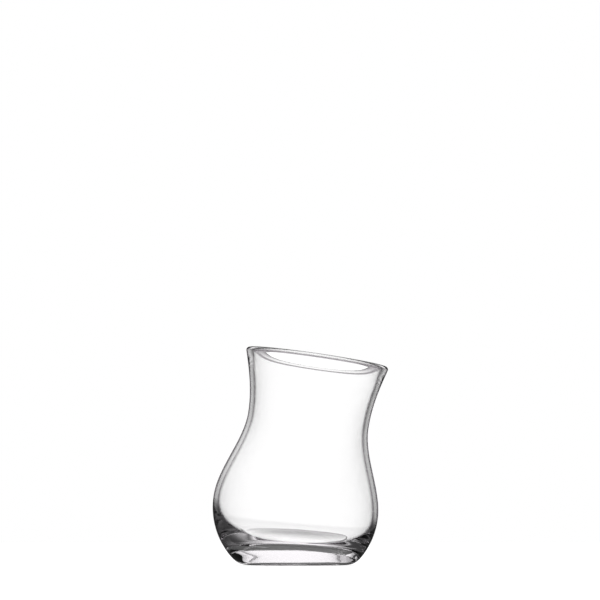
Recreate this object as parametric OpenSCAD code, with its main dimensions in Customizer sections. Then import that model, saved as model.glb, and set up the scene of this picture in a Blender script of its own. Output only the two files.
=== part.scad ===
// Slim-waisted tea glass that leans over on a foot pressed flat, in millimetres.
// +Z is up, the table is z = 0, the origin is the middle of the flat foot, and the glass leans towards +X.
// Heights named along the axis are measured up the leaning axis from the table.

/* [Stance] */
// Lean of the glass's axis from upright, in degrees
lean = 8.3; // [0:0.1:11]

/* [Outline] */
// Widest outside diameter, round the belly
belly_d = 63.9; // [60:0.1:68]
// Height of the widest ring, along the axis
belly_h = 22.2; // [20:0.1:24]
// Radius of the outside curve under the belly
under_r = 29.2; // [27.5:0.1:30]
// Outside diameter at the waist
waist_d = 46.8; // [43:0.1:52]
// Height of the waist, along the axis
waist_h = 56.4; // [52:0.1:60]
// Outside diameter over the rim
rim_d = 55.3; // [52:0.1:59]
// Height of the rim's top, along the axis
rim_h = 81.1; // [77:0.1:87]
// Flare of the wall where it meets the rim, in degrees
flare = 17; // [10:0.5:22]

/* [Glass] */
// Thickness of the wall
wall_t = 1.7; // [1.3:0.1:2.1]
// Thickness of the rounded lip
lip_t = 2.2; // [2.2:0.1:2.8]
// Height over which the wall swells into the lip
lip_run = 8; // [6:0.1:9]

/* [Well] */
// Lean of the well in the base, in degrees, nearly level with the table
well_lean = 1.1; // [0:0.1:8]
// Depth of the well's floor below the widest ring
well_depth = 15.1; // [13:0.1:16]
// Radius of the corner round the well's floor
corner_r = 2.2; // [1.5:0.1:4]
// Radius of the well's shallow floor
floor_r = 700; // [300:10:2000]

/* [Hidden] */
glass_tint = [0.88, 0.92, 0.93, 0.4];

// Radii on the axis's own plane
belly_r = belly_d / 2;
waist_r = waist_d / 2;
under_o = [belly_r - under_r, belly_h];

// Lip: centre of its half round, and the ends of the outside and inside walls that it joins
lip_r = lip_t / 2;
lip_o = [rim_d / 2 - lip_r, rim_h - lip_r];
out_end = lip_o + lip_r * [cos(flare), -sin(flare)];
in_end = lip_o - lip_r * [cos(flare), -sin(flare)];

// Well, measured from the middle of the widest ring: its corner touches the side's circle and the floor's from inside
side_r = 1.08 * well_depth;
side_o = [belly_r - wall_t - side_r, 0];
floor_o = [0, floor_r - well_depth];
between = floor_o - side_o;
apart = norm(between);
to_side = side_r - corner_r;
to_floor = floor_r - corner_r;
along = (apart * apart + to_side * to_side - to_floor * to_floor) / (2 * apart);
across = sqrt(to_side * to_side - along * along);
corner_o = side_o + (along * between + across * [between[1], -between[0]]) / apart;
side_end = atan2(corner_o[1] - side_o[1], corner_o[0] - side_o[0]);
floor_end = atan2(corner_o[1] - floor_o[1], corner_o[0] - floor_o[0]);
// The well's side runs on above the widest ring by this angle, so that it clears the base's top all round
over = 16;

// Heights at which the zones above the base meet, on planes square to the axis
shoulder = (belly_h + waist_h) / 2;
neck = rim_h - 2 * lip_run;

// How far the flat foot reaches from the axis, towards the lean and away from it
function foot_reach(k) =
    let (b = under_o[0] + belly_h * k, a = 1 + k * k)
    (b + sqrt(b * b - a * (under_o * under_o - under_r * under_r))) / a / cos(lean);
foot_shift = (foot_reach(tan(lean)) - foot_reach(-tan(lean))) / 2;

// Outside wall's radius and slope at a height, level at the belly and the waist
function ease(t) = t * t * (3 - 2 * t);
function ease_slope(t) = 6 * t * (1 - t);
function up_waist(s) = (s - belly_h) / (waist_h - belly_h);
function up_flare(s) = (s - waist_h) / (out_end[1] - waist_h);
function flaring(t) = waist_r + (out_end[0] - waist_r) * ease(t)
    + (out_end[1] - waist_h) * tan(flare) * (t * t * t - t * t);
function flare_slope(t) = (out_end[0] - waist_r) * ease_slope(t) / (out_end[1] - waist_h)
    + tan(flare) * (3 * t * t - 2 * t);
function outer(s) =
    s < waist_h ? belly_r + (waist_r - belly_r) * ease(up_waist(s))
    : s < out_end[1] ? flaring(up_flare(s))
    : out_end[0] + (s - out_end[1]) * tan(flare);
function slope(s) =
    s < waist_h ? (waist_r - belly_r) * ease_slope(up_waist(s)) / (waist_h - belly_h)
    : s < out_end[1] ? flare_slope(up_flare(s))
    : tan(flare);

// Inside wall's radius: the wall's thickness in from the outside, swelling to the lip's near the rim
function swell(s) = ease(min(1, max(0, (s - out_end[1] + lip_run) / lip_run)));
function thick(s) = wall_t + (lip_t - wall_t) * swell(s);
function inner(s) = outer(s) - thick(s) * sqrt(1 + slope(s) * slope(s));

// Points up the outside, down the inside, and round an arc
function rise(a, b, n) = [for (i = [0 : n]) let (s = a + (b - a) * i / n) [outer(s), s]];
function drop(a, b, n) = [for (i = [0 : n]) let (s = a + (b - a) * i / n) [inner(s), s]];
function arc(o, r, a, b, n) = [for (i = [0 : n]) let (t = a + (b - a) * i / n) o + r * [cos(t), sin(t)]];
function tail(list) = [for (i = [1 : len(list) - 1]) list[i]];
function head(list) = [for (i = [0 : len(list) - 2]) list[i]];

// A closed outline turned round its own upright axis
module turned(outline) {
    rotate_extrude($fn = 180)
        polygon(outline);
}

// Stands what is drawn upright on the leaning axis, with the middle of the flat foot at the origin
module leaning() {
    translate([-foot_shift, 0, 0])
        rotate([0, lean, 0])
            children();
}

// The well in the base, turned about the middle of the widest ring to its own lean
module well() {
    leaning()
        translate([0, 0, belly_h])
            rotate([0, well_lean - lean, 0])
                turned(concat(
                    [[0, -well_depth]],
                    tail(head(arc(floor_o, floor_r, -90, floor_end, 8))),
                    arc(corner_o, corner_r, floor_end, side_end, 18),
                    tail(arc(side_o, side_r, side_end, over, 16)),
                    [[0, side_r * sin(over)]]
                ));
}

// Thick base up to the widest ring, hollowed by the well and cut flat at the table
module base() color(glass_tint)
    difference() {
        leaning()
            turned(concat(
                [[0, belly_h - under_r]],
                arc(under_o, under_r, -90, 0, 36),
                [[0, belly_h]]
            ));
        well();
        translate([-belly_d, -belly_d, -under_r])
            cube([2 * belly_d, 2 * belly_d, under_r]);
    }

// Upper belly, from the widest ring half way to the waist
module belly() color(glass_tint)
    leaning() turned(concat(rise(belly_h, shoulder, 20), drop(shoulder, belly_h, 20)));

// Drawn-in waist, up to where the flare steepens below the lip
module waist() color(glass_tint)
    leaning() turned(concat(rise(shoulder, neck, 28), drop(neck, shoulder, 28)));

// Flared rim with its half-round lip
module rim() color(glass_tint)
    leaning() turned(concat(
        rise(neck, out_end[1], 10),
        tail(head(arc(lip_o, lip_r, -flare, 180 - flare, 20))),
        drop(in_end[1], neck, 12)
    ));

base();
belly();
waist();
rim();
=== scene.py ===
import math
import bmesh
import bpy
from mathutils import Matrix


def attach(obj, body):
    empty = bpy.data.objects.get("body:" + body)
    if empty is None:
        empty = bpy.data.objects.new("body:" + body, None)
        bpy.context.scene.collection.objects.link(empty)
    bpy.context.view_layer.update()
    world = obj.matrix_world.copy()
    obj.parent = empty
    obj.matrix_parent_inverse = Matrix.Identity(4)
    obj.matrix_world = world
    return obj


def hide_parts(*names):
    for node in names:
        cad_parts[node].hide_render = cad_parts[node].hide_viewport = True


# Leaning slim-waisted tea glass: sizes in millimetres and degrees, Blender in metres.
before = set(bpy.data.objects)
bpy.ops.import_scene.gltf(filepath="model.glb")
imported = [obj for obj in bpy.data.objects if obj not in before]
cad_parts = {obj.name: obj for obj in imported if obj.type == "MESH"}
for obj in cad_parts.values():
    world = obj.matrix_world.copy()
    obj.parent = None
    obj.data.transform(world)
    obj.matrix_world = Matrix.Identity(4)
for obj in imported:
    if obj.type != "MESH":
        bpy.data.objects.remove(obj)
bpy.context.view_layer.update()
mm = 0.001
halfTurn = 180.0
smoothly = {"interpolation_type": "SMOOTHSTEP"}
print("frame loaded:", sorted(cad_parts))


def linearColour(hexText):
    channels = [int(hexText[i:i + 2], 16) / 255 for i in (1, 3, 5)]
    return [c / 12.92 if c <= 0.04045 else ((c + 0.055) / 1.055) ** 2.4 for c in channels] + [1.0]


def addNode(tree, kind, settings, links):
    node = tree.nodes.new(kind)
    for name, value in settings.items():
        setattr(node, name, value)
    for socket, value in links.items():
        if isinstance(value, bpy.types.Node):
            value = value.outputs[0]
        if isinstance(value, bpy.types.NodeSocket):
            tree.links.new(value, node.inputs[socket])
        else:
            node.inputs[socket].default_value = value
    return node


# Glass body

glass = {
    "lean": 8.3,
    "bellyDiameter": 63.9,
    "bellyHeight": 22.2,          # heights run up the leaning axis
    "underRadius": 29.2,          # curve under the belly
    "waistDiameter": 46.8,
    "waistHeight": 56.4,
    "rimDiameter": 55.3,
    "rimHeight": 81.1,
    "flare": 17.0,
    "wall": 1.7,
    "lip": 2.2,
    "lipRun": 8.0,                # height over which the wall swells into the lip
    "wellLean": 1.1,              # lean of the well's floor, nearly level with the table
    "wellBlend": 0.73,            # part of the well, from the ring inwards, over which it takes that lean
    "wellDepth": 15.1,            # below the widest ring
    "wellSide": 16.3,             # radii of the well's side, corner and shallow floor
    "wellCorner": 2.2,
    "wellFloor": 700.0,
    "heelRound": 4.35,            # softness of the heel where the foot was pressed flat
    "rippleHeight": 0.05,         # unevenness that the plunger leaves in the well
    "rippleWidth": 8.0,
    "rippleDetail": 1.0,
    "rippleSeed": 3.0,
    "weld": 0.001,                # points nearer than this are one
    "around": 240,                # faces round the glass, and along each stretch of its profile:
    "underSteps": 108,
    "outsideSteps": 76,
    "lipSteps": 28,
    "insideSteps": 70,
    "wellSideSteps": 40,
    "wellCornerSteps": 40,
    "wellFloorSteps": 48,
}
bellyRadius = glass["bellyDiameter"] / 2
waistRadius = glass["waistDiameter"] / 2
lipRadius = glass["lip"] / 2
leanAngle = math.radians(glass["lean"])
flareAngle = math.radians(glass["flare"])
lipCentre = (glass["rimDiameter"] / 2 - lipRadius, glass["rimHeight"] - lipRadius)
outerEnd = (lipCentre[0] + lipRadius * math.cos(flareAngle),
            lipCentre[1] - lipRadius * math.sin(flareAngle))
innerEnd = lipCentre[1] + lipRadius * math.sin(flareAngle)


def ease(t):
    return t * t * (3 - 2 * t)


def upWaist(height):
    return (height - glass["bellyHeight"]) / (glass["waistHeight"] - glass["bellyHeight"])


def outerRadius(height):
    # level at the belly and the waist, and leaving at the flare's angle where it meets the lip
    if height < glass["waistHeight"]:
        return bellyRadius + (waistRadius - bellyRadius) * ease(upWaist(height))
    run = outerEnd[1] - glass["waistHeight"]
    up = (height - glass["waistHeight"]) / run
    if up < 1:
        swing = run * math.tan(flareAngle) * (up ** 3 - up ** 2)
        return waistRadius + (outerEnd[0] - waistRadius) * ease(up) + swing
    return outerEnd[0] + (height - outerEnd[1]) * math.tan(flareAngle)


def wallThickness(height):
    swell = (height - outerEnd[1] + glass["lipRun"]) / glass["lipRun"]
    return glass["wall"] + (glass["lip"] - glass["wall"]) * ease(min(1.0, max(0.0, swell)))


def innerRadius(height):
    step = 0.005
    slope = (outerRadius(height + step) - outerRadius(height - step)) / (2 * step)
    return outerRadius(height) - wallThickness(height) * math.sqrt(1 + slope * slope)


def arcPoints(centre, radius, start, end, count):
    angles = [start + (end - start) * i / count for i in range(count + 1)]
    return [(centre[0] + radius * math.cos(a), centre[1] + radius * math.sin(a)) for a in angles]


def wellPoints():
    # side, corner and shallow floor of the well below the widest ring
    # the corner touches the other two from inside
    sideCentre = (bellyRadius - glass["wall"] - glass["wellSide"], glass["bellyHeight"])
    floorCentre = (0.0, glass["bellyHeight"] - glass["wellDepth"] + glass["wellFloor"])
    toSide = glass["wellSide"] - glass["wellCorner"]
    toFloor = glass["wellFloor"] - glass["wellCorner"]
    gap = (floorCentre[0] - sideCentre[0], floorCentre[1] - sideCentre[1])
    apart = math.hypot(*gap)
    along = (apart ** 2 + toSide ** 2 - toFloor ** 2) / (2 * apart)
    across = math.sqrt(toSide ** 2 - along ** 2)
    corner = (sideCentre[0] + (along * gap[0] + across * gap[1]) / apart,
              sideCentre[1] + (along * gap[1] - across * gap[0]) / apart)
    sideEnd = math.atan2(corner[1] - sideCentre[1], corner[0] - sideCentre[0])
    floorEnd = math.atan2(corner[1] - floorCentre[1], corner[0] - floorCentre[0])
    side = arcPoints(sideCentre, glass["wellSide"], 0, sideEnd, glass["wellSideSteps"])
    bend = arcPoints(corner, glass["wellCorner"], sideEnd, floorEnd, glass["wellCornerSteps"])
    floor = arcPoints(floorCentre, glass["wellFloor"], floorEnd, -math.pi / 2, glass["wellFloorSteps"])
    return side[1:] + bend[1:] + floor[1:-1]


def glassProfile():
    # from the foot over the lip to the well: radius, height over the widest ring,
    # and share of the well's own lean and ripple
    level = glass["bellyHeight"]
    underCentre = (bellyRadius - glass["underRadius"], level)
    under = arcPoints(underCentre, glass["underRadius"], -math.pi / 2, 0, glass["underSteps"])
    outside = [level + (outerEnd[1] - level) * i / glass["outsideSteps"]
               for i in range(1, glass["outsideSteps"] + 1)]
    lip = arcPoints(lipCentre, lipRadius, -flareAngle, math.pi - flareAngle, glass["lipSteps"])
    inside = [innerEnd + (level - innerEnd) * i / glass["insideSteps"]
              for i in range(glass["insideSteps"] + 1)]
    shell = [(0.0, under[0][1])] + under
    shell += [(outerRadius(h), h) for h in outside]
    shell += lip[1:-1]
    shell += [(innerRadius(h), h) for h in inside]
    well = wellPoints()
    reach = glass["wellBlend"] * len(well)
    points = [(r, h - level, 0.0) for r, h in shell]
    points += [(r, h - level, ease(min(1.0, i / reach))) for i, (r, h) in enumerate(well, 1)]
    points += [(0.0, -glass["wellDepth"], 1.0)]
    return points


def bellyMiddle():
    # middle of the widest ring, with the middle of the flat foot at the origin
    centre = bellyRadius - glass["underRadius"]
    height = glass["bellyHeight"]
    reach = []
    for rise in (math.tan(leanAngle), -math.tan(leanAngle)):
        b = centre + height * rise
        a = 1 + rise * rise
        c = centre ** 2 + height ** 2 - glass["underRadius"] ** 2
        reach.append((b + math.sqrt(b * b - a * c)) / a / math.cos(leanAngle))
    footShift = (reach[0] - reach[1]) / 2
    return (height * math.sin(leanAngle) - footShift, 0.0, height * math.cos(leanAngle))


def makeGlassTree():
    # turns the profile round the axis, leans it, gives the well its own lean, and presses the foot flat
    tree = bpy.data.node_groups.new("turnedGlass", "GeometryNodeTree")
    sockets = {
        "Profile": "Geometry", "Around": "Int", "Lean": "Float", "Well Lean": "Float",
        "Belly Middle": "Vector", "Heel Round": "Float", "Ripple Height": "Float",
        "Ripple Width": "Float", "Ripple Seed": "Float", "Finish": "Material"}
    for name, kind in sockets.items():
        tree.interface.new_socket(name=name, in_out="INPUT", socket_type="NodeSocket" + kind)
    tree.interface.new_socket(name="Glass", in_out="OUTPUT", socket_type="NodeSocketGeometry")
    given = addNode(tree, "NodeGroupInput", {}, {}).outputs

    # a grid with a row for each point of the profile and a column for each step round
    gridSize = 1.0
    size = addNode(tree, "GeometryNodeAttributeDomainSize", {"component": "MESH"}, {
        "Geometry": given["Profile"]})
    rows = size.outputs["Point Count"]
    columns = addNode(tree, "ShaderNodeMath", {"operation": "ADD"}, {0: given["Around"], 1: 1.0})
    grid = addNode(tree, "GeometryNodeMeshGrid", {}, {
        "Size X": gridSize, "Size Y": gridSize, "Vertices X": columns, "Vertices Y": rows})
    where = addNode(tree, "GeometryNodeInputPosition", {}, {})
    cell = addNode(tree, "ShaderNodeSeparateXYZ", {}, {"Vector": where}).outputs
    lastRow = addNode(tree, "ShaderNodeMath", {"operation": "SUBTRACT"}, {0: rows, 1: 1.0})
    step = addNode(tree, "ShaderNodeMapRange", {}, {
        "Value": cell["Y"], "From Min": -gridSize / 2, "From Max": gridSize / 2,
        "To Min": 0.0, "To Max": lastRow})
    row = addNode(tree, "ShaderNodeMath", {"operation": "ROUND"}, {0: step})
    angle = addNode(tree, "ShaderNodeMapRange", {}, {
        "Value": cell["X"], "From Min": -gridSize / 2, "From Max": gridSize / 2,
        "To Min": 0.0, "To Max": math.tau})

    # the profile's point and its share of the well's own form, read by row
    shareMark = addNode(tree, "GeometryNodeInputNamedAttribute", {"data_type": "FLOAT"}, {
        "Name": "wellShare"})
    point = addNode(tree, "GeometryNodeSampleIndex", {"data_type": "FLOAT_VECTOR"}, {
        "Geometry": given["Profile"], "Value": where, "Index": row})
    wellShare = addNode(tree, "GeometryNodeSampleIndex", {"data_type": "FLOAT"}, {
        "Geometry": given["Profile"], "Value": shareMark, "Index": row})

    # turned round, leaned over and stood on the foot
    turned = addNode(tree, "ShaderNodeVectorRotate", {"rotation_type": "Z_AXIS"}, {
        "Vector": point, "Angle": angle})
    tilt = addNode(tree, "ShaderNodeMapRange", {}, {
        "Value": wellShare, "To Min": given["Lean"], "To Max": given["Well Lean"]})
    leaned = addNode(tree, "ShaderNodeVectorRotate", {"rotation_type": "Y_AXIS"}, {
        "Vector": turned, "Angle": tilt})
    stood = addNode(tree, "ShaderNodeVectorMath", {"operation": "ADD"}, {
        0: leaned, 1: given["Belly Middle"]})

    # slow unevenness in the well, up and down from the noise's middle
    noiseMiddle = 0.5
    rippleScale = addNode(tree, "ShaderNodeMath", {"operation": "DIVIDE"}, {
        0: 1.0, 1: given["Ripple Width"]})
    noise = addNode(tree, "ShaderNodeTexNoise", {"noise_dimensions": "4D"}, {
        "Vector": stood, "W": given["Ripple Seed"], "Detail": glass["rippleDetail"], "Scale": rippleScale})
    swing = addNode(tree, "ShaderNodeMath", {"operation": "SUBTRACT"}, {0: noise, 1: noiseMiddle})
    reach = addNode(tree, "ShaderNodeMath", {"operation": "MULTIPLY"}, {
        0: wellShare, 1: given["Ripple Height"]})
    spot = addNode(tree, "ShaderNodeSeparateXYZ", {}, {"Vector": stood}).outputs
    raised = addNode(tree, "ShaderNodeMath", {"operation": "MULTIPLY_ADD"}, {
        0: swing, 1: reach, 2: spot["Z"]})

    # the foot pressed flat on the table with a soft heel
    pressed = addNode(tree, "ShaderNodeMath", {"operation": "SMOOTH_MAX"}, {
        0: raised, 1: 0.0, 2: given["Heel Round"]})
    final = addNode(tree, "ShaderNodeCombineXYZ", {}, {"X": spot["X"], "Y": spot["Y"], "Z": pressed})

    placed = addNode(tree, "GeometryNodeSetPosition", {}, {"Geometry": grid, "Position": final})
    closed = addNode(tree, "GeometryNodeMergeByDistance", {}, {
        "Geometry": placed, "Distance": glass["weld"] * mm})
    smooth = addNode(tree, "GeometryNodeSetShadeSmooth", {}, {"Geometry": closed})
    real = addNode(tree, "GeometryNodeRealizeInstances", {}, {"Geometry": smooth})
    finished = addNode(tree, "GeometryNodeSetMaterial", {}, {"Geometry": real, "Material": given["Finish"]})
    addNode(tree, "NodeGroupOutput", {}, {0: finished})
    return tree


def makeGlass(finish):
    profile = glassProfile()
    line = bpy.data.meshes.new("glassProfile")
    spots = [(r * mm, 0, h * mm) for r, h, share in profile]
    line.from_pydata(spots, [(i, i + 1) for i in range(len(spots) - 1)], [])
    marks = line.attributes.new("wellShare", "FLOAT", "POINT")
    marks.data.foreach_set("value", [share for r, h, share in profile])
    maker = bpy.data.objects.new("glassProfile", line)
    bpy.context.scene.collection.objects.link(maker)
    tree = makeGlassTree()
    modifier = maker.modifiers.new("turnedGlass", "NODES")
    modifier.node_group = tree
    sizes = {
        "Around": glass["around"], "Lean": leanAngle, "Well Lean": math.radians(glass["wellLean"]),
        "Belly Middle": [v * mm for v in bellyMiddle()], "Heel Round": glass["heelRound"] * mm,
        "Ripple Height": glass["rippleHeight"] * mm, "Ripple Width": glass["rippleWidth"] * mm,
        "Ripple Seed": glass["rippleSeed"], "Finish": finish}
    for item in tree.interface.items_tree:
        if item.name in sizes:
            modifier[item.identifier] = sizes[item.name]
    shape = maker.evaluated_get(bpy.context.evaluated_depsgraph_get())
    mesh = bpy.data.meshes.new_from_object(shape)
    maker.modifiers.clear()
    bpy.data.objects.remove(maker)
    work = bmesh.new()
    work.from_mesh(mesh)
    if work.calc_volume(signed=True) < 0:
        bmesh.ops.reverse_faces(work, faces=work.faces)
    openEdges = sum(1 for e in work.edges if not e.is_manifold)
    volume = work.calc_volume() / (10 * mm) ** 3
    work.to_mesh(mesh)
    work.free()
    mesh.name = "glass"
    piece = bpy.data.objects.new("glass", mesh)
    bpy.context.scene.collection.objects.link(piece)
    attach(piece, "root")
    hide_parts("base", "belly", "waist", "rim")
    print("glass made:", len(mesh.polygons), "faces,", openEdges, "open edges, %.2f cm3" % volume)


# Glass material

glassFinish = {
    "ior": 1.52,                  # soda-lime glass
    "tint": "#F2EEF2",            # a trace of manganese leaves thick glass faintly violet-grey
    "tintDensity": 14.0,          # per metre, so it shows only through the base
    "paintedOutline": "#3E393E",            # painted shade: dark colour for glass seen edge on
    "edgeStart": 0.68,            # from this turn away from the eye, 0 facing it and 1 edge on,
    "edgeEnd": 0.85,              # to this one,
    "edgeFoot": (0.8, 3.0),       # but not at the foot: between these heights it comes in
    "lipLine": "#858085",         # painted shade: fine dark line where the lip begins,
    "lipLineDrop": 1.2,           # this far below the rim's top
    "lipLineWidth": 0.42,         # from its middle to where it has faded out
    "waveWidth": 9.0,             # slow waves that the mould and the reheating leave on the wall
    "waveHeight": 0.003,
    "waveDetail": 1.0,
    "chillWidth": 2.6,            # finer chill marks low down, where the plunger cooled the glass
    "chillHeight": 0.004,
    "chillDetail": 2.0,
    "chillFull": 9.6,             # height up to which they are at their full,
    "chillTop": 24.0,             # and at which they have faded out
}


def makeGlassFinish():
    # Pressed soda-lime glass, fire-polished: colourless and clear, mirror smooth,
    # with slow waves and chill marks, and a painted dark outline and lip line.
    material = bpy.data.materials.new("Soda-lime glass, pressed and fire-polished")
    material.use_nodes = True
    tree = material.node_tree
    tree.nodes.clear()
    place = addNode(tree, "ShaderNodeTexCoord", {}, {}).outputs["Object"]
    height = addNode(tree, "ShaderNodeSeparateXYZ", {}, {"Vector": place}).outputs["Z"]
    waves = addNode(tree, "ShaderNodeTexNoise", {}, {
        "Vector": place, "Scale": 1 / (glassFinish["waveWidth"] * mm),
        "Detail": glassFinish["waveDetail"]})
    chills = addNode(tree, "ShaderNodeTexNoise", {}, {
        "Vector": place, "Scale": 1 / (glassFinish["chillWidth"] * mm),
        "Detail": glassFinish["chillDetail"]})
    low = addNode(tree, "ShaderNodeMapRange", smoothly, {
        "Value": height,
        "From Min": glassFinish["chillTop"] * mm, "From Max": glassFinish["chillFull"] * mm})
    waveBump = addNode(tree, "ShaderNodeBump", {}, {
        "Strength": 1.0, "Distance": glassFinish["waveHeight"] * mm, "Height": waves})
    chillBump = addNode(tree, "ShaderNodeBump", {}, {
        "Strength": low, "Distance": glassFinish["chillHeight"] * mm, "Height": chills, "Normal": waveBump})

    # painted shade: the glass's colour darkens where it is seen edge on, which draws its outline
    facing = addNode(tree, "ShaderNodeLayerWeight", {}, {}).outputs["Facing"]
    inside = addNode(tree, "ShaderNodeNewGeometry", {}, {}).outputs["Backfacing"]
    outside = addNode(tree, "ShaderNodeMath", {"operation": "SUBTRACT"}, {0: 1.0, 1: inside})
    footStart, footEnd = glassFinish["edgeFoot"]
    standing = addNode(tree, "ShaderNodeMapRange", smoothly, {
        "Value": height, "From Min": footStart * mm, "From Max": footEnd * mm,
        "To Min": 0.0, "To Max": outside})
    paintedOutline = addNode(tree, "ShaderNodeMapRange", smoothly, {
        "Value": facing, "From Min": glassFinish["edgeStart"], "From Max": glassFinish["edgeEnd"],
        "To Max": standing})
    outlineShadedColour = addNode(tree, "ShaderNodeMix", {"data_type": "RGBA"}, {
        0: paintedOutline, 6: (1, 1, 1, 1), 7: linearColour(glassFinish["paintedOutline"])}).outputs[2]

    # painted shade: a fine dark line where the fire-polished lip begins, at one height up the leaning axis
    axis = (math.sin(leanAngle), 0.0, math.cos(leanAngle))
    rimTop = sum(a * b for a, b in zip(axis, bellyMiddle())) + glass["rimHeight"] - glass["bellyHeight"]
    along = addNode(tree, "ShaderNodeVectorMath", {"operation": "DOT_PRODUCT"}, {
        0: place, 1: axis}).outputs["Value"]
    below = addNode(tree, "ShaderNodeMath", {"operation": "SUBTRACT"}, {
        0: along, 1: (rimTop - glassFinish["lipLineDrop"]) * mm})
    away = addNode(tree, "ShaderNodeMath", {"operation": "ABSOLUTE"}, {0: below})
    line = addNode(tree, "ShaderNodeMapRange", smoothly, {
        "Value": away, "From Min": glassFinish["lipLineWidth"] * mm, "From Max": 0.0})
    lipShadedColour = addNode(tree, "ShaderNodeMix", {"data_type": "RGBA"}, {
        0: line, 6: outlineShadedColour, 7: linearColour(glassFinish["lipLine"])}).outputs[2]
    clear = addNode(tree, "ShaderNodeBsdfPrincipled", {}, {
        "Base Color": lipShadedColour, "Roughness": 0.0, "IOR": glassFinish["ior"],
        "Transmission Weight": 1.0, "Normal": chillBump})
    body = addNode(tree, "ShaderNodeVolumeAbsorption", {}, {
        "Color": linearColour(glassFinish["tint"]), "Density": glassFinish["tintDensity"]})
    addNode(tree, "ShaderNodeOutputMaterial", {}, {"Surface": clear, "Volume": body})
    return material


makeGlass(makeGlassFinish())

# Floor and light

studio = {
    "paper": "#F7F7F7",           # pale floor
    "floorHalf": 3000.0,
    "gap": 0.05,                  # air under the foot
    "paperGlow": 0.8,             # the floor's own light to the eye; the rest is its shading
    "backdropToEye": 1.0,         # white
    "fill": 0.3,                  # light that falls on the floor
    "through": 1.2,               # backdrop straight through: four faces take a sixth, which leaves white
    "paperTop": (14.0, 32.0),     # between these degrees up it dims,
    "paperDim": 0.25,             # to this
    "behind": 1.2,                # lit backdrop, mirrored in the solid glass and in the wall's edges
    # share of that light by degrees round from straight behind the glass, alike on both sides
    "behindShares": [
        (0, 1.0), (11, 1.0), (14, 0.93), (18, 0.77), (22.5, 0.57), (28, 0.43), (33, 0.3), (39, 0.17),
        (46, 0.08), (55, 0.05), (66, 0.04), (100, 0.05), (150, 0.12), (180, 0.16)],
    "widen": (-5.0, 40.0),        # between these degrees up the lit backdrop widens,
    "narrowing": 0.33,            # to three times as wide
    "above": 0.1,                 # soft box overhead
    # share of the soft box's light by degrees up from level
    "aboveShares": [
        (-90, 0.0), (0, 0.1), (16, 0.2), (22, 0.28), (30, 0.36), (38, 0.5), (49, 0.67), (62, 0.93),
        (90, 1.0)],
    "mirrorRoom": 0.05,           # what the outside of the glass mirrors
    "paintedFootShade": 0.14,            # painted shade on the floor under the foot and round it,
    "shadeReach": 30.0,
    "shadeEnd": 60.0,             # and a glow like the lit backdrop's farther off
    # share of the backdrop's light on the floor seen straight through, by distance from the foot's middle;
    # the dip round the foot is painted shade
    "floorReach": 120.0,
    "floorShares": [(0, 0.97), (36, 0.97), (54, 0.92), (76, 1.07), (120, 1.07)],
    "faces": 1.5,                 # light through the glass crossed more faces than this: two for a wall
    "floorTurns": 0.5,            # turns beyond the faces crossed, from which light counts as mirrored
    "worldTurns": 1.5,            # the world counts one turn more
}


def setStops(ramp, shares):
    # grey stops along a ramp, whose own two ends take the first share and the last
    stops = ramp.color_ramp.elements
    for part, share in shares[1:-1]:
        stops.new(part).color = (share, share, share, 1)
    for end in (0, -1):
        share = shares[end][1]
        stops[end].color = (share, share, share, 1)


def makeBackdrop():
    # share of the lit backdrop's light along a direction
    tree = bpy.data.node_groups.new("backdrop", "ShaderNodeTree")
    tree.interface.new_socket(name="Way", in_out="INPUT", socket_type="NodeSocketVector")
    tree.interface.new_socket(name="Share", in_out="OUTPUT", socket_type="NodeSocketFloat")
    given = addNode(tree, "NodeGroupInput", {}, {})
    axes = addNode(tree, "ShaderNodeSeparateXYZ", {}, {"Vector": given}).outputs
    turn = addNode(tree, "ShaderNodeMath", {"operation": "ARCTAN2"}, {0: axes["X"], 1: axes["Y"]})
    off = addNode(tree, "ShaderNodeMath", {"operation": "ABSOLUTE"}, {0: turn})
    rise = addNode(tree, "ShaderNodeMath", {"operation": "ARCSINE"}, {0: axes["Z"]})
    widenStart, widenEnd = studio["widen"]
    narrow = addNode(tree, "ShaderNodeMapRange", smoothly, {
        "Value": rise, "From Min": math.radians(widenStart), "From Max": math.radians(widenEnd),
        "To Min": 1 / math.pi, "To Max": studio["narrowing"] / math.pi})
    part = addNode(tree, "ShaderNodeMath", {"operation": "MULTIPLY"}, {0: off, 1: narrow})
    ramp = addNode(tree, "ShaderNodeValToRGB", {}, {"Fac": part})
    setStops(ramp, [(degrees / halfTurn, share) for degrees, share in studio["behindShares"]])
    addNode(tree, "NodeGroupOutput", {}, {"Share": ramp})
    return tree


def makeStraightPath():
    # 1 for light that went in and out of the glass and was never mirrored on the way
    tree = bpy.data.node_groups.new("straightPath", "ShaderNodeTree")
    tree.interface.new_socket(name="Turns", in_out="INPUT", socket_type="NodeSocketFloat")
    tree.interface.new_socket(name="Straight", in_out="OUTPUT", socket_type="NodeSocketFloat")
    given = addNode(tree, "NodeGroupInput", {}, {})
    path = addNode(tree, "ShaderNodeLightPath", {}, {}).outputs
    crossed = addNode(tree, "ShaderNodeMath", {"operation": "GREATER_THAN"}, {
        0: path["Transmission Depth"], 1: studio["faces"]})
    turns = addNode(tree, "ShaderNodeMath", {"operation": "SUBTRACT"}, {
        0: path["Ray Depth"], 1: path["Transmission Depth"]})
    unturned = addNode(tree, "ShaderNodeMath", {"operation": "LESS_THAN"}, {0: turns, 1: given})
    both = addNode(tree, "ShaderNodeMath", {"operation": "MULTIPLY"}, {0: crossed, 1: unturned})
    addNode(tree, "NodeGroupOutput", {}, {"Straight": both})
    return tree


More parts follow.
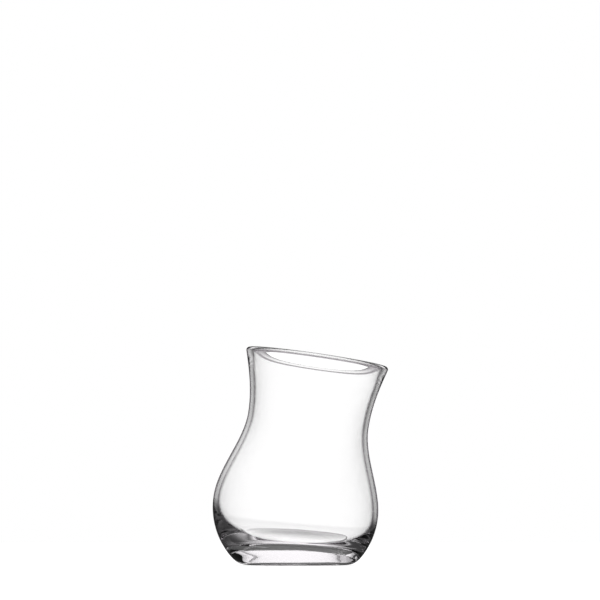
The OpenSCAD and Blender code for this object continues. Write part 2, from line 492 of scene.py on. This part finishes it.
def makeFloor(backdrop, straightPath):
    half = studio["floorHalf"] * mm
    mesh = bpy.data.meshes.new("floor")
    level = -studio["gap"] * mm
    corners = [(-half, -half, level), (half, -half, level), (half, half, level), (-half, half, level)]
    mesh.from_pydata(corners, [], [(0, 1, 2, 3)])
    floor = bpy.data.objects.new("floor", mesh)
    bpy.context.scene.collection.objects.link(floor)
    # Matt paper sheet, plain and pale to the eye, with painted shade round the foot where the glass shows
    # it.
    material = bpy.data.materials.new("Matt white paper sheet")
    material.use_nodes = True
    tree = material.node_tree
    tree.nodes.clear()
    paper = linearColour(studio["paper"])
    place = addNode(tree, "ShaderNodeTexCoord", {}, {}).outputs["Object"]
    reach = addNode(tree, "ShaderNodeVectorMath", {"operation": "LENGTH"}, {0: place}).outputs["Value"]
    path = addNode(tree, "ShaderNodeLightPath", {}, {}).outputs

    # mirrored in the glass: painted shade under the foot and round it, and a glow like the lit backdrop's
    # farther off
    shadeReach = studio["shadeReach"] * mm
    shadeEnd = studio["shadeEnd"] * mm
    share = addNode(tree, "ShaderNodeGroup", {"node_tree": backdrop}, {"Way": place})
    away = addNode(tree, "ShaderNodeMapRange", smoothly, {
        "Value": reach, "From Min": shadeReach, "From Max": shadeEnd,
        "To Min": 0.0, "To Max": studio["behind"]})
    lit = addNode(tree, "ShaderNodeMath", {"operation": "MULTIPLY"}, {0: share, 1: away})
    near = addNode(tree, "ShaderNodeMapRange", smoothly, {
        "Value": reach, "From Min": shadeReach, "From Max": shadeEnd,
        "To Min": studio["paintedFootShade"], "To Max": 0.0})
    mirrored = addNode(tree, "ShaderNodeMath", {"operation": "ADD"}, {0: near, 1: lit})

    # straight through the glass: painted shade, a little dimmer round the foot
    part = addNode(tree, "ShaderNodeMath", {"operation": "DIVIDE"}, {
        0: reach, 1: studio["floorReach"] * mm})
    paintedShadeRings = addNode(tree, "ShaderNodeValToRGB", {}, {"Fac": part})
    setStops(paintedShadeRings, [(distance / studio["floorReach"], ring) for distance, ring in studio["floorShares"]])
    even = addNode(tree, "ShaderNodeMath", {"operation": "MULTIPLY"}, {0: paintedShadeRings, 1: studio["through"]})
    straight = addNode(tree, "ShaderNodeGroup", {"node_tree": straightPath}, {
        "Turns": studio["floorTurns"]})
    within = addNode(tree, "ShaderNodeMix", {}, {0: straight, 2: mirrored, 3: even})

    # in the outside of the glass, and to the eye
    strength = addNode(tree, "ShaderNodeMix", {}, {
        0: path["Is Reflection Ray"], 2: within, 3: studio["mirrorRoom"]})
    other = addNode(tree, "ShaderNodeEmission", {}, {"Color": paper, "Strength": strength})
    glow = addNode(tree, "ShaderNodeEmission", {}, {"Color": paper, "Strength": studio["paperGlow"]})
    shaded = addNode(tree, "ShaderNodeBsdfDiffuse", {}, {"Color": paper})
    seen = addNode(tree, "ShaderNodeAddShader", {}, {0: glow, 1: shaded})
    choice = addNode(tree, "ShaderNodeMixShader", {}, {0: path["Is Camera Ray"], 1: other, 2: seen})
    addNode(tree, "ShaderNodeOutputMaterial", {}, {"Surface": choice})
    mesh.materials.append(material)


def makeLight(backdrop, straightPath):
    world = bpy.data.worlds.new("studio")
    bpy.context.scene.world = world
    world.use_nodes = True
    tree = world.node_tree
    tree.nodes.clear()
    way = addNode(tree, "ShaderNodeTexCoord", {}, {}).outputs["Generated"]
    height = addNode(tree, "ShaderNodeSeparateXYZ", {}, {"Vector": way}).outputs["Z"]
    rise = addNode(tree, "ShaderNodeMath", {"operation": "ARCSINE"}, {0: height})
    path = addNode(tree, "ShaderNodeLightPath", {}, {}).outputs

    # mirrored in the glass: the lit backdrop, or the soft box where that is brighter
    levelPart = 0.5  # place on the ramp that stands for level
    part = addNode(tree, "ShaderNodeMath", {"operation": "MULTIPLY_ADD"}, {
        0: rise, 1: 1 / math.pi, 2: levelPart})
    softBox = addNode(tree, "ShaderNodeValToRGB", {}, {"Fac": part})
    setStops(softBox, [(degrees / halfTurn + levelPart, share) for degrees, share in studio["aboveShares"]])
    above = addNode(tree, "ShaderNodeMath", {"operation": "MULTIPLY"}, {0: softBox, 1: studio["above"]})
    share = addNode(tree, "ShaderNodeGroup", {"node_tree": backdrop}, {"Way": way})
    behind = addNode(tree, "ShaderNodeMath", {"operation": "MULTIPLY"}, {0: share, 1: studio["behind"]})
    mirrored = addNode(tree, "ShaderNodeMath", {"operation": "MAXIMUM"}, {0: above, 1: behind})

    # straight through the glass: even, and dimmer high up
    dimStart, dimEnd = studio["paperTop"]
    even = addNode(tree, "ShaderNodeMapRange", smoothly, {
        "Value": rise, "From Min": math.radians(dimStart), "From Max": math.radians(dimEnd),
        "To Min": studio["through"], "To Max": studio["paperDim"]})
    straight = addNode(tree, "ShaderNodeGroup", {"node_tree": straightPath}, {
        "Turns": studio["worldTurns"]})
    within = addNode(tree, "ShaderNodeMix", {}, {0: straight, 2: mirrored, 3: even})

    # in the outside of the glass, on the floor, and to the eye
    outside = addNode(tree, "ShaderNodeMix", {}, {
        0: path["Is Reflection Ray"], 2: within, 3: studio["mirrorRoom"]})
    soft = addNode(tree, "ShaderNodeMix", {}, {0: path["Is Diffuse Ray"], 2: outside, 3: studio["fill"]})
    strength = addNode(tree, "ShaderNodeMix", {}, {
        0: path["Is Camera Ray"], 2: soft, 3: studio["backdropToEye"]})
    ground = addNode(tree, "ShaderNodeBackground", {}, {"Color": (1, 1, 1, 1), "Strength": strength})
    addNode(tree, "ShaderNodeOutputWorld", {}, {"Surface": ground})


backdropLight = makeBackdrop()
straightLight = makeStraightPath()
makeFloor(backdropLight, straightLight)
makeLight(backdropLight, straightLight)
print("floor and light made")

# Camera

view = {
    "place": (1.26, -1300.0, 12.0),
    "level": 90.0,                # turn at which a camera looks level
    "tiltUp": 3.974,
    "lens": 202.07,
    "sensor": 36.0,
}
cameraData = bpy.data.cameras.new("camera")
cameraData.lens = view["lens"]
cameraData.sensor_width = view["sensor"]
cameraData.dof.use_dof = False
camera = bpy.data.objects.new("camera", cameraData)
camera.location = [v * mm for v in view["place"]]
camera.rotation_euler = (math.radians(view["level"] + view["tiltUp"]), 0, 0)
bpy.context.scene.collection.objects.link(camera)
bpy.context.scene.camera = camera
bpy.context.scene.view_settings.view_transform = "Standard"
print("camera placed")

# Light is mirrored many times inside the thick base before it leaves
lightSteps = 24
bpy.context.scene.cycles.max_bounces = lightSteps
bpy.context.scene.cycles.glossy_bounces = lightSteps
bpy.context.scene.cycles.transmission_bounces = lightSteps
